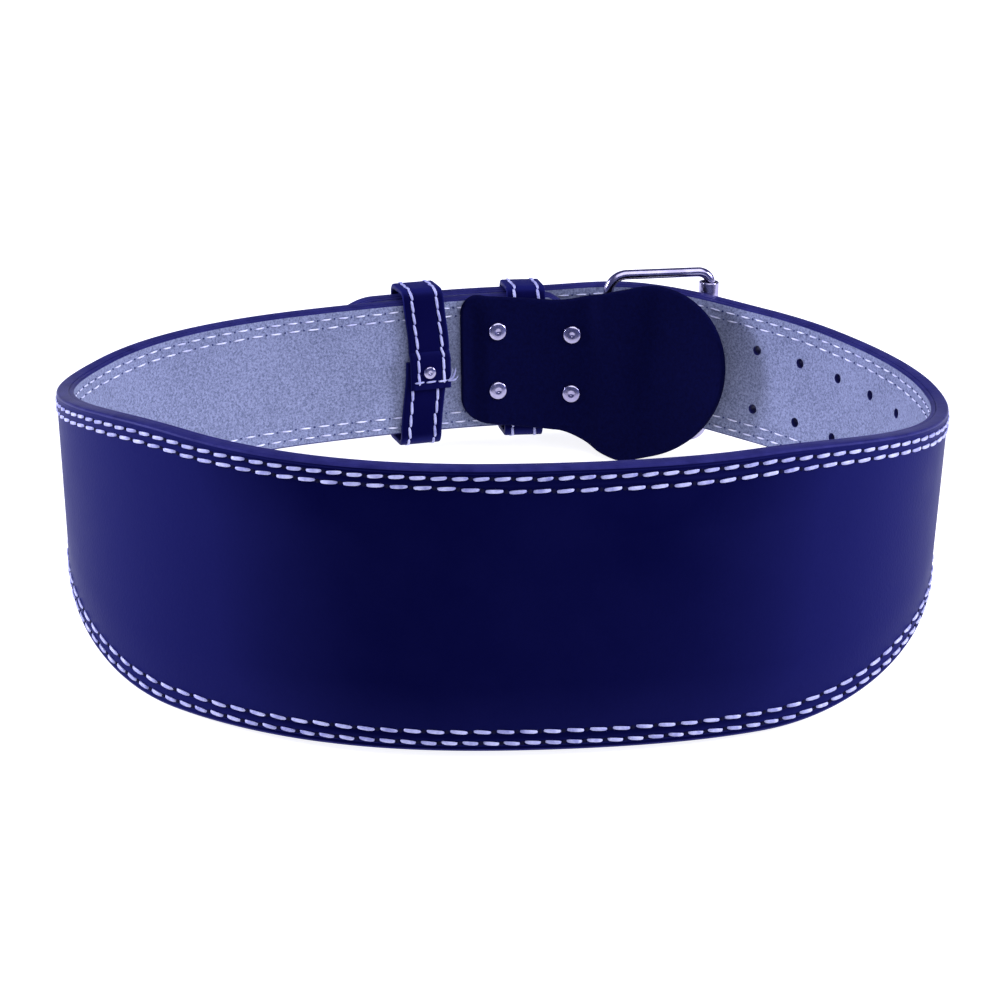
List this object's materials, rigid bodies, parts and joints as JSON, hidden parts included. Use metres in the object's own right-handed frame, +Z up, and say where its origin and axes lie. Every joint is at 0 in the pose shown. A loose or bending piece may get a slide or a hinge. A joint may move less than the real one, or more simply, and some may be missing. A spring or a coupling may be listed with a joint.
{
  "type": "leather weightlifting belt",
  "caption": "Wide leather lifting belt fastened in a loop, suede lining, roller buckle, guard flap and keepers, standing on its wide edge.",
  "frame": {"origin": "on the surface that the belt stands on, below the middle of its bounding box", "axes": "+Z up, +X to the right when facing the wide panel, the wide panel faces -Y and the buckle is at +Y"},
  "size_m": [0.3234, 0.2814, 0.1024],
  "materials": {
    "navy_leather": "smooth, finished leather with painted edges",
    "keeper_leather": "smooth leather band with white stitching",
    "lilac_suede": "napped suede split",
    "napped_leather": "dark leather with a fine matte nap",
    "nickel": "bright nickel plate"
  },
  "bodies": {
    "root": {"belt_body": "navy_leather", "suede_lining": "lilac_suede", "guard_flap": "napped_leather", "buckle_frame": "nickel", "buckle_roller": "nickel", "prong_upper": "nickel", "prong_lower": "nickel", "keeper_fixed": "keeper_leather", "keeper_sliding": "keeper_leather", "rivet_1": "nickel", "rivet_2": "nickel", "rivet_3": "nickel", "rivet_4": "nickel", "keeper_rivet": "nickel"}
  },
  "joints": []
}
